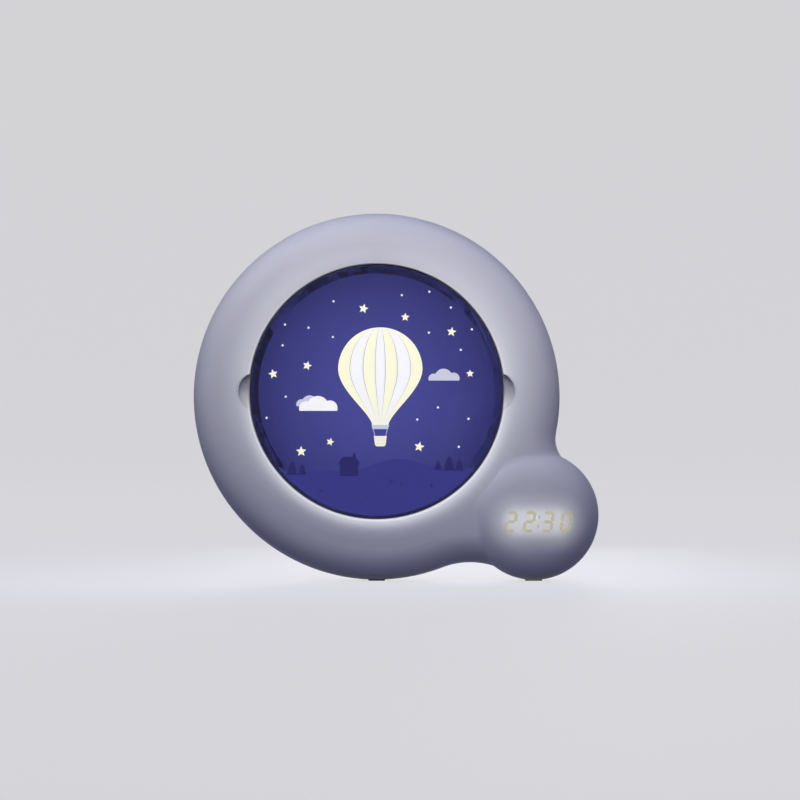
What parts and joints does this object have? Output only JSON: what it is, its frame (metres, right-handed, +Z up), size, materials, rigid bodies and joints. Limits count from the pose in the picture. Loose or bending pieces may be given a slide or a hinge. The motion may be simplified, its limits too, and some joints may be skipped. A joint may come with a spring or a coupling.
{
  "type": "kids alarm clock with night light",
  "caption": "Ring-shaped bedside clock with a lift-out backlit picture disc, a blended display lobe, rear buttons, loudspeaker and battery door.",
  "frame": {"origin": "middle of the bounding box's bottom face, on the surface that the clock stands on", "axes": "+Z up, the picture and the display face -Y, +X to the right of someone facing the clock"},
  "size_m": [0.2211, 0.0524, 0.2005],
  "materials": {
    "shell_plastic": "fine satin moulded ABS",
    "clear_cover": "clear glossy polycarbonate",
    "picture_film": "printed translucent film",
    "tray_plastic": "dark moulded",
    "diffuser_plastic": "opal",
    "reflector_plastic": "white",
    "circuit_board": "solder mask",
    "lamp_body": "lens",
    "guide_plastic": "black moulded",
    "chip_black": "epoxy",
    "switch_black": "moulded",
    "switch_steel": "stamped",
    "button_plastic": "satin",
    "socket_steel": "stamped",
    "speaker_steel": "stamped",
    "magnet_black": "coated ferrite",
    "cell_wrap": "plastic wrap",
    "contact_metal": "nickel plated",
    "screw_steel": "zinc plated",
    "foot_rubber": "matt",
    "cone_paper": "coated paper"
  },
  "bodies": {
    "housing": {"front_shell": "shell_plastic", "rear_shell": "shell_plastic", "diffuser_plate": "diffuser_plastic", "light_box": "reflector_plastic", "led_board": "circuit_board", "board_leds": "lamp_body", "display_guide": "guide_plastic", "display_board": "circuit_board", "display_leds": "lamp_body", "control_board": "circuit_board", "control_chip": "chip_black", "tact_switches": "switch_black", "alarm_switch_body": "switch_steel", "power_socket": "socket_steel", "speaker_frame": "speaker_steel", "speaker_magnet": "magnet_black", "battery_cells": "cell_wrap", "battery_springs": "contact_metal", "battery_contacts": "contact_metal", "shell_screws": "screw_steel", "light_box_screws": "screw_steel", "led_board_screws": "screw_steel", "control_board_screws": "screw_steel", "foot_pads": "foot_rubber", "speaker_cone": "cone_paper"},
    "disc": {"disc_cover": "clear_cover", "picture_print": "picture_film", "disc_tray": "tray_plastic"},
    "door": {"battery_door": "shell_plastic", "battery_door_screws": "screw_steel"},
    "hour_key": {"hour_button": "button_plastic"},
    "minute_key": {"minute_button": "button_plastic"},
    "alarm_key": {"alarm_button": "button_plastic"},
    "light_key": {"light_button": "button_plastic"},
    "alarm_slider": {"alarm_switch_knob": "button_plastic"}
  },
  "joints": [
    {"name": "disc_pull", "type": "slide", "parent": "housing", "child": "disc", "axis": [0, -1, 0], "range_m": [0, 0.03]},
    {"name": "door_lift", "type": "slide", "parent": "housing", "child": "door", "axis": [0, 1, 0], "range_m": [0, 0.03]},
    {"name": "hour_press", "type": "slide", "parent": "housing", "child": "hour_key", "axis": [0, -1, 0], "range_m": [0, 0.0006], "stiffness_N_per_m": 800, "springref_m": -0.0006},
    {"name": "minute_press", "type": "slide", "parent": "housing", "child": "minute_key", "axis": [0, -1, 0], "range_m": [0, 0.0006], "stiffness_N_per_m": 800, "springref_m": -0.0006},
    {"name": "alarm_press", "type": "slide", "parent": "housing", "child": "alarm_key", "axis": [0, -1, 0], "range_m": [0, 0.0006], "stiffness_N_per_m": 800, "springref_m": -0.0006},
    {"name": "light_press", "type": "slide", "parent": "housing", "child": "light_key", "axis": [0, -1, 0], "range_m": [0, 0.0006], "stiffness_N_per_m": 800, "springref_m": -0.0006},
    {"name": "alarm_switch", "type": "slide", "parent": "housing", "child": "alarm_slider", "axis": [1, 0, 0], "range_m": [0, 0.003]}
  ]
}
